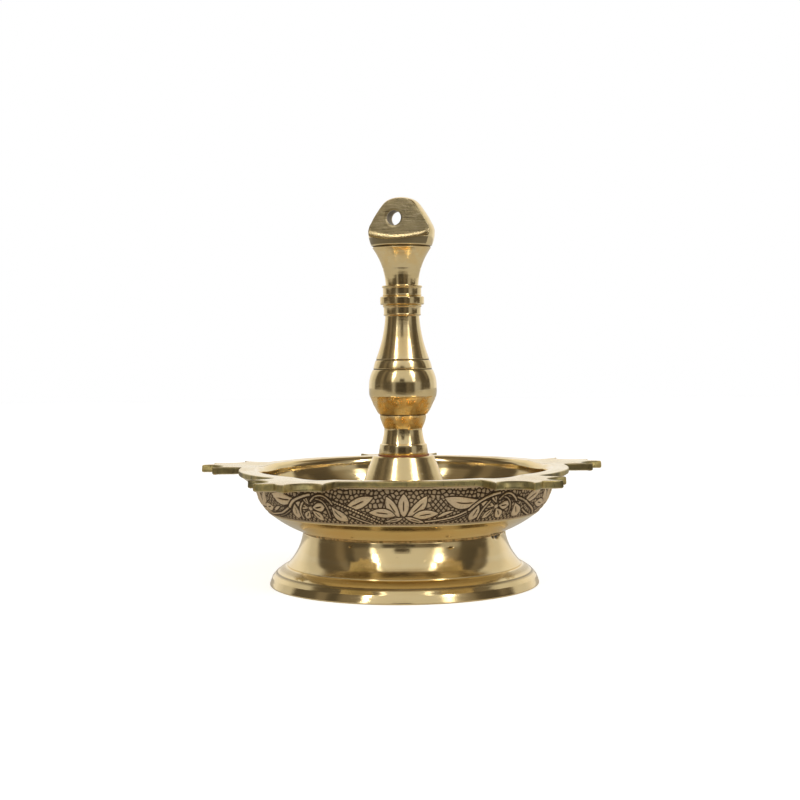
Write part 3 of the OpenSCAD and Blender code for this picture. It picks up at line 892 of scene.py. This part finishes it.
def handle_line():
    line = [(4.0, HANDLE_LOW), (7.2, HANDLE_LOW)]
    line += [(6.85, REEL_Z - 0.35), (6.75, REEL_Z - 0.12), (6.4, REEL_Z)]
    line += bow((6.35, REEL_Z + 0.06), (5.5, BULB_Z), 0.15, 10)
    low_z = BULB_Z + 3.9
    line += bow((5.62, BULB_Z + 0.15), (6.8, low_z - 0.24), -0.12, 6)
    line += [(6.62, low_z - 0.03), (6.66, low_z + 0.05), (7.12, low_z + 0.26)]
    line += bow((7.16, low_z + 0.3), (9.5, BULB_MID_Z - 0.1), -0.15, 10)
    line += bow((9.68, BULB_MID_Z + 0.12), (9.85, BULB_TOP_Z), -0.1, 8)
    mid_z = TAPER_Z - 2.7
    line += bow((9.85, BULB_TOP_Z + 0.2), (8.76, mid_z - 0.24), -0.22, 10)
    line += [(8.40, mid_z - 0.03), (8.42, mid_z + 0.05), (8.52, mid_z + 0.26)]
    line += bow((8.52, mid_z + 0.32), (7.92, TAPER_Z - 0.24), -0.05, 4)
    line += [(7.60, TAPER_Z - 0.03), (7.60, TAPER_Z + 0.05), (7.72, TAPER_Z + 0.26)]
    line += bow((7.72, TAPER_Z + 0.32), (4.95, SPOOL_Z - 0.05), 0.5, 26)
    line += spool_line(5.65, SPOOL_Z)
    line += [(5.7, RING_Z + 0.04), (6.15, RING_Z + 0.1), (6.35, RING_Z + 0.35), (6.38, SPOOL2_Z - 0.35),
             (6.2, SPOOL2_Z - 0.08), (5.75, SPOOL2_Z)]
    line += spool_line(5.85, SPOOL2_Z)
    neck = bow((4.75, NECK_TOP_Z + 0.1), (8.5, HEAD_Z - 0.3), 0.85, 30)
    line += neck[:13] + [(neck[13][0] - 0.05, neck[13][1])] + neck[14:]
    line += [(8.2, HEAD_Z - 0.05), (8.2, HEAD_Z + 0.06)]
    start = math.asin(-(BALL_UP - 0.3) / BALL_HALF)
    for i in range(121):
        t = start + (math.pi / 2 - start) * i / 120
        up = BALL_HALF * math.sin(t)
        worn = np.interp(up, DOME_UP, DOME_IN)
        line.append((max(BALL_R * math.cos(t) - worn, 0) if i < 120 else 0.0, BALL_Z + up))
    return line


def flat_half(across, z):
    """Half the thickness of the eye between its flats, at a place across it and a height."""
    ledge = HEAD_Z + 1.75 + 1.1 * (across / 8) ** 2
    r = 1.9
    below = np.clip((ledge + r - z) / r, 0, 1)
    step = r - r * np.sqrt(np.clip(1 - below ** 2, 0, 1))
    return EYE_HALF + step * 0.9 + np.where(z < ledge, 9.0, 0.0)


def make_handle(material):
    line = eased(handle_line(), 0.09, 2)
    line[-1] = (0.0, line[-1][1])
    body = [(4.0, HANDLE_LOW + SOCKET_DEEP), (4.0, HANDLE_LOW)]
    line = [(0.0, HANDLE_LOW + SOCKET_DEEP)] + body + line[1:]
    bm = spun(line, 384, start=-EYE_TURN)
    co = points_of(bm)
    c, s = math.cos(-EYE_TURN), math.sin(-EYE_TURN)
    across = co[:, 0] * c + co[:, 1] * s
    depth = -co[:, 0] * s + co[:, 1] * c
    limit = flat_half(across, co[:, 2])
    bend = 0.22
    size = np.abs(depth)
    soft = 0.5 * (size + limit - np.sqrt((size - limit) ** 2 + bend ** 2))
    head = (co[:, 2] > HEAD_Z + 1.2) & (np.hypot(across, depth) < 11)
    brushed = np.where(head & (size > limit - 0.05), 1.0, 0.0)
    flat_wave = 0.05 * ripple(across, co[:, 2], 0 * across, 5, 31)
    depth = np.where(head & (size > limit - 0.8), np.sign(depth) * (soft + flat_wave * brushed), depth)
    from_eye = np.hypot(across - EYE_OFF, co[:, 2] - EYE_Z)
    on_flat = head & (brushed > 0)
    worn = np.where(on_flat, 0.30 * np.exp(-(np.maximum(from_eye - EYE_R, 0) / 0.28) ** 2), 0)
    depth = depth - np.sign(depth) * worn
    co[:, 0] = across * c - depth * s
    co[:, 1] = across * s + depth * c
    grooves_and_shade = np.zeros(len(co))
    away = np.hypot(co[:, 0], co[:, 1])
    for z, reach_in in ((HEAD_Z, 8.35), (TAPER_Z, 7.66), (TAPER_Z - 2.7, 8.48), (BULB_Z + 3.9, 6.75)):
        grooves_and_shade = np.maximum(grooves_and_shade, np.where((np.abs(co[:, 2] - z) < 0.12) & (away < reach_in), 0.85, 0))
    cast = smooth(co[:, 2], BULB_Z - 0.2, BULB_Z + 0.1)
    cast = cast * (1 - smooth(co[:, 2], BULB_MID_Z - 0.15, BULB_MID_Z + 0.15))
    lumps = cast * 0.06 * ripple(co[:, 0], co[:, 1], co[:, 2] * 2, 3.0, 41)
    co[:, :2] *= (1 + lumps / np.maximum(away, 1))[:, None]
    # the neck's flare gets half the casting's copper colour: a painted orange reflection
    flare_reflection = smooth(co[:, 2], NECK_TOP_Z + 4, NECK_TOP_Z + 7) * (1 - smooth(co[:, 2], HEAD_Z, HEAD_Z + 0.3))
    cast = np.maximum(cast, 0.5 * flare_reflection)
    # painted shade: a dark band under the head's ledge
    under_ledge = (size > EYE_HALF + 0.3) & (brushed < 0.5)
    under_ledge &= (co[:, 2] > HEAD_Z + 0.55) & (co[:, 2] < HEAD_Z + 2.6)
    grooves_and_shade = np.maximum(grooves_and_shade, np.where(under_ledge, 0.68, 0))
    move_points(bm, co)
    mark(bm, "dirt_and_shade", grooves_and_shade)
    mark(bm, "cast", cast)
    mark(bm, "brushed", brushed * (0.55 + 0.45 * smooth(co[:, 2], HEAD_Z + 2.8, HEAD_Z + 6.0)))
    bore_eye(bm, c, s)
    return piece(bm, "handle_turned", "handle", material, ["handle"], 50)


def bore_eye(bm, c, s):
    """Drills the hanging hole through both flats, and paints its wall dark as painted shade."""
    def place(v):
        x, y, z = v.co / MM
        return x * c + y * s, -x * s + y * c, z

    def inside(v):
        a, _, z = place(v)
        return math.hypot(a - EYE_OFF, z - EYE_Z) < EYE_R and z > HEAD_Z

    gone = [v for v in bm.verts if inside(v)]
    bmesh.ops.delete(bm, geom=gone, context="VERTS")
    edges = [e for e in bm.edges if e.is_boundary]
    for v in {v for e in edges for v in e.verts}:
        a, d, z = place(v)
        gap = math.hypot(a - EYE_OFF, z - EYE_Z)
        a = EYE_OFF + (a - EYE_OFF) * EYE_R / gap
        z = EYE_Z + (z - EYE_Z) * EYE_R / gap
        v.co = Vector((a * c - d * s, a * s + d * c, z)) * MM
    made = bmesh.ops.bridge_loops(bm, edges=edges)
    walls = {e for face in made["faces"] for e in face.edges} - set(edges)
    split = bmesh.ops.subdivide_edges(bm, edges=list(walls), cuts=5, use_grid_fill=True)
    dirt_and_shade = bm.verts.layers.float["dirt_and_shade"]
    brushed = bm.verts.layers.float["brushed"]
    # the hole's wall is painted dark: painted shade inside the hole
    for v in {v for v in split["geom_inner"] if isinstance(v, bmesh.types.BMVert)}:
        v[dirt_and_shade] = 0.8
        v[brushed] = 0.0
    bmesh.ops.recalc_face_normals(bm, faces=bm.faces[:])


def make_stud(material):
    """The stud, with a real thread round its core."""
    top = HANDLE_LOW + 9.6
    low_z = low("handle_stud")
    turns = int((top - low_z) / THREAD_PITCH)
    bm = bmesh.new()
    line = []
    for k in range(turns - 1):
        z = low_z + 0.9 + k * THREAD_PITCH
        line += [(3.28, z), (3.9, z + 0.48), (3.9, z + 0.62), (3.28, z + 1.1)]
    verts = [bm.verts.new((r * MM, 0, z * MM)) for r, z in line]
    edges = [bm.edges.new(pair) for pair in zip(verts, verts[1:])]
    steps = 72
    climb = (0, 0, THREAD_PITCH * MM / steps)
    bmesh.ops.spin(bm, geom=verts + edges, cent=(0, 0, 0), axis=(0, 0, 1), dvec=climb,
                   angle=TURN, steps=steps, use_merge=False)
    bmesh.ops.remove_doubles(bm, verts=bm.verts[:], dist=2e-6)
    rims = [e for e in bm.edges if e.is_boundary]
    bmesh.ops.holes_fill(bm, edges=rims, sides=0)
    bmesh.ops.recalc_face_normals(bm, faces=bm.faces[:])
    line = [(0, low_z), (2.9, low_z), (3.3, low_z + 0.5), (3.3, top + 0.2), (0, top + 0.2)]
    core = spun(eased(line, 0.1, 2), 96)
    spare = bpy.data.meshes.new("spare")
    core.to_mesh(spare)
    core.free()
    bm.from_mesh(spare)
    bpy.data.meshes.remove(spare)
    return piece(bm, "handle_stud_thread", "handle", material, ["handle_stud"], 30)


# ---------------------------------------------------------------- stage, lights and camera

FLOOR_WIDE = 2.0
FLOOR_DEEP = 1.6
FLOOR_FRONT = -0.21


def make_stage():
    bm = bmesh.new()
    bmesh.ops.create_grid(bm, x_segments=1, y_segments=1, size=0.5)
    for v in bm.verts:
        v.co = (v.co.x * FLOOR_WIDE, FLOOR_FRONT + (v.co.y + 0.5) * FLOOR_DEEP, 0)
    mesh = bpy.data.meshes.new("floor")
    bm.to_mesh(mesh)
    bm.free()
    floor = bpy.data.objects.new("floor", mesh)
    bpy.context.scene.collection.objects.link(floor)
    f = Finish("pale_floor")
    grain = f.noise(25, 2, 0.5)
    pale = f.blend(f.rise(grain, 0.3, 0.7), (0.80, 0.80, 0.79, 1), (0.84, 0.84, 0.83, 1))
    seen = f.tree.nodes.new("ShaderNodeLightPath").outputs["Is Camera Ray"]
    f.colour(f.blend(seen, (0.42, 0.41, 0.38, 1), pale))
    f.shader.inputs["Roughness"].default_value = 0.9
    f.shader.inputs["Specular IOR Level"].default_value = 0.1
    f.shader.inputs["Emission Color"].default_value = (1.0, 0.995, 0.985, 1)
    f.put(f.math("ADD", 0.26, f.math("MULTIPLY", seen, 0.42)), f.shader.inputs["Emission Strength"])
    mesh.materials.append(f.material)


# The walls and lights round the lamp: degrees round from the camera, and how bright it is there.
LEFT_WALL = [(-180, 0.98), (-140, 0.9), (-125, 0.62), (-113, 0.6), (-108, 0.10), (-84, 0.12)]
RIGHT_WALL = [(108, 0.66), (125, 0.66), (140, 0.9), (180, 0.98)]
SIDE_LIGHTS = LEFT_WALL + [
    (-80, 0.22), (-72, 0.2), (-69, 0.09), (-62, 0.09), (-58, 0.2), (-39, 0.2), (-37, 3.0), (-34, 3.0),
    (-32, 0.3), (-28, 0.66), (30, 0.62), (34, 0.4), (37, 3.0), (41, 3.0), (44, 0.3), (63, 0.22),
    (67, 0.10), (88, 0.08), (92, 0.2), (104, 0.12)] + RIGHT_WALL
LOW_LIGHTS = LEFT_WALL + [
    (-80, 0.2), (-72, 0.2), (-69, 0.09), (-38, 0.10), (-36, 0.45), (-28, 0.4), (-24, 0.07), (10, 0.05),
    (14, 0.16), (38, 0.08), (43, 0.45), (60, 0.4), (67, 0.10), (104, 0.10)] + RIGHT_WALL


def make_room():
    """The studio seen in the brass: pale walls, a darker room on both sides, and two tall windows."""
    world = bpy.data.worlds.new("studio")
    bpy.context.scene.world = world
    world.use_nodes = True
    tree = world.node_tree
    tree.nodes.clear()
    out = tree.nodes.new("ShaderNodeOutputWorld")
    shade = tree.nodes.new("ShaderNodeBackground")
    plain = tree.nodes.new("ShaderNodeBackground")
    pick = tree.nodes.new("ShaderNodeMixShader")
    path = tree.nodes.new("ShaderNodeLightPath")
    tree.links.new(path.outputs["Is Camera Ray"], pick.inputs[0])
    tree.links.new(shade.outputs[0], pick.inputs[1])
    tree.links.new(plain.outputs[0], pick.inputs[2])
    tree.links.new(pick.outputs[0], out.inputs["Surface"])
    plain.inputs["Color"].default_value = (1, 1, 1, 1)
    plain.inputs["Strength"].default_value = 1.0

    def math_node(operation, a, b=0.0):
        node = tree.nodes.new("ShaderNodeMath")
        node.operation = operation
        for value, socket in zip((a, b), node.inputs):
            if hasattr(value, "is_linked"):
                tree.links.new(value, socket)
            else:
                socket.default_value = value
        return node.outputs[0]

    def rise(value, a, b):
        node = tree.nodes.new("ShaderNodeMapRange")
        node.interpolation_type = "SMOOTHSTEP"
        tree.links.new(value, node.inputs[0])
        node.inputs[1].default_value = a
        node.inputs[2].default_value = b
        return node.outputs[0]

    def ramp(value, stops, tint=(1.0, 0.98, 0.94)):
        node = tree.nodes.new("ShaderNodeValToRGB")
        tree.links.new(value, node.inputs[0])
        elements = node.color_ramp.elements
        elements[0].position = (stops[0][0] + 180) / 360
        elements[1].position = (stops[-1][0] + 180) / 360
        for angle, _ in stops[1:-1]:
            elements.new((angle + 180) / 360)
        for element, (_, level) in zip(elements, stops):
            warm = (1.0, 0.86, 0.68) if level < 0.3 else tint
            element.color = tuple(level * w / 3 for w in warm) + (1,)
        return node.outputs[0]

    def blend(amount, a, b):
        node = tree.nodes.new("ShaderNodeMix")
        node.data_type = "RGBA"
        for value, socket in zip((amount, a, b), (node.inputs[0], node.inputs[6], node.inputs[7])):
            if hasattr(value, "is_linked"):
                tree.links.new(value, socket)
            else:
                socket.default_value = value
        return node.outputs[2]

    way = tree.nodes.new("ShaderNodeTexCoord").outputs["Generated"]
    split = tree.nodes.new("ShaderNodeSeparateXYZ")
    tree.links.new(way, split.inputs[0])
    x, y, z = split.outputs
    turn = math_node("ARCTAN2", x, math_node("MULTIPLY", y, -1.0))
    turn = math_node("ADD", math_node("DIVIDE", math_node("SUBTRACT", turn, CAMERA_TURN), TURN), 0.5)
    lift = math_node("MULTIPLY", math_node("ARCSINE", z), 180 / math.pi)
    mottle = tree.nodes.new("ShaderNodeTexNoise")
    mottle.inputs["Scale"].default_value = 7.0
    mottle.inputs["Detail"].default_value = 4.0
    tree.links.new(way, mottle.inputs["Vector"])
    uneven = math_node("MULTIPLY", math_node("SUBTRACT", mottle.outputs["Fac"], 0.5), 0.012)
    turn = math_node("ADD", turn, uneven)
    streak = tree.nodes.new("ShaderNodeTexNoise")
    streak.inputs["Scale"].default_value = 1.0
    streak.inputs["Detail"].default_value = 3.0
    fine = tree.nodes.new("ShaderNodeCombineXYZ")
    tree.links.new(math_node("MULTIPLY", turn, 150.0), fine.inputs[0])
    tree.links.new(math_node("MULTIPLY", lift, 0.05), fine.inputs[1])
    tree.links.new(fine.outputs[0], streak.inputs["Vector"])
    ragged = math_node("MULTIPLY", math_node("SUBTRACT", streak.outputs["Fac"], 0.5), 0.02)
    turn = math_node("ADD", turn, ragged)
    mid = ramp(turn, SIDE_LIGHTS)
    near = ramp(turn, LOW_LIGHTS)
    colour = blend(rise(lift, 12, 17), near, mid)
    degrees = math_node("MULTIPLY", math_node("SUBTRACT", turn, 0.5), 360.0)
    panel = math_node("SUBTRACT", 1.0, rise(degrees, 5, 7))
    panel = math_node("MULTIPLY", rise(degrees, -12, -10), panel)
    panel = math_node("MULTIPLY", panel, rise(lift, 15, 16))
    panel = math_node("MULTIPLY", panel, math_node("SUBTRACT", 1.0, rise(lift, 24, 25)))
    colour = blend(panel, colour, (0.016, 0.012, 0.009, 1))
    ceiling = tree.nodes.new("ShaderNodeMix")
    ceiling.data_type = "RGBA"
    tree.links.new(mottle.outputs["Fac"], ceiling.inputs[0])
    ceiling.inputs[6].default_value = (0.030, 0.024, 0.016, 1)
    ceiling.inputs[7].default_value = (0.095, 0.078, 0.055, 1)
    back = math_node("MULTIPLY", rise(y, 0.0, 0.25), 34.0)
    top_at = math_node("SUBTRACT", lift, math_node("SUBTRACT", 76.0, back))
    colour = blend(rise(top_at, -3, 6), colour, ceiling.outputs[2])
    tree.links.new(colour, shade.inputs["Color"])
    shade.inputs["Strength"].default_value = 3.0


def make_light(name, place, aim, wide, tall, power):
    data = bpy.data.lights.new(name, "AREA")
    data.shape = "RECTANGLE"
    data.size = wide
    data.size_y = tall
    data.energy = power
    data.color = (1, 0.98, 0.95)
    lamp = bpy.data.objects.new(name, data)
    lamp.location = place
    lamp.rotation_mode = "QUATERNION"
    lamp.rotation_quaternion = (Vector(aim) - Vector(place)).to_track_quat("-Z", "Y")
    bpy.context.scene.collection.objects.link(lamp)


def make_lights():
    make_light("key_right", (0.95, -1.15, 1.25), (0, 0, 0.05), 0.13, 0.7, 6)
    make_light("key_left", (-0.92, -1.3, 1.2), (0, 0, 0.05), 0.08, 0.6, 4)


def make_camera():
    away = 0.4249
    high_up = 0.0690
    look_down = math.radians(2.15)
    eye = Vector((math.sin(CAMERA_TURN) * away, -math.cos(CAMERA_TURN) * away, high_up))
    aim = Vector((0, 0, eye.z - away * math.tan(look_down)))
    data = bpy.data.cameras.new("camera")
    data.lens = 65.9
    data.sensor_width = 36.0
    data.clip_start = 0.01
    cam = bpy.data.objects.new("camera", data)
    cam.location = eye
    cam.rotation_mode = "QUATERNION"
    face = (aim - eye).to_track_quat("-Z", "Y")
    yaw = Matrix.Rotation(math.atan(3 / 1465), 4, "Y").to_quaternion()
    roll = Matrix.Rotation(math.radians(-0.5), 4, "Z").to_quaternion()
    cam.rotation_quaternion = face @ yaw @ roll
    bpy.context.scene.collection.objects.link(cam)
    bpy.context.scene.camera = cam


# ---------------------------------------------------------------- all of it

make_camera()
make_stage()
make_room()
make_lights()
bpy.context.scene.view_settings.view_transform = "Standard"

make_foot(stained_brass("foot_brass", gloss=0.08, line_depth=0.006, smears=0.07))
make_bowl(stained_brass("dish_brass", gloss=0.08, line_depth=0.003, smears=0.08))
make_rim(rim_brass())
make_band(engraved_brass())
make_boss(plain_brass("boss_brass", gloss=0.16, line_depth=0.018, line_size=2200, smears=0.08))
make_seal(seal_fibre())
make_handle(handle_brass())
fastener = plain_brass("fastener_brass", gloss=0.24, line_depth=0.006)
make_stud(fastener)
for kept, finish in (("clamp_washer", fastener), ("clamp_nut", fastener), ("foot_braze", braze_metal())):
    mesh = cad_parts[kept].data
    mesh.materials.clear()
    mesh.materials.append(finish)
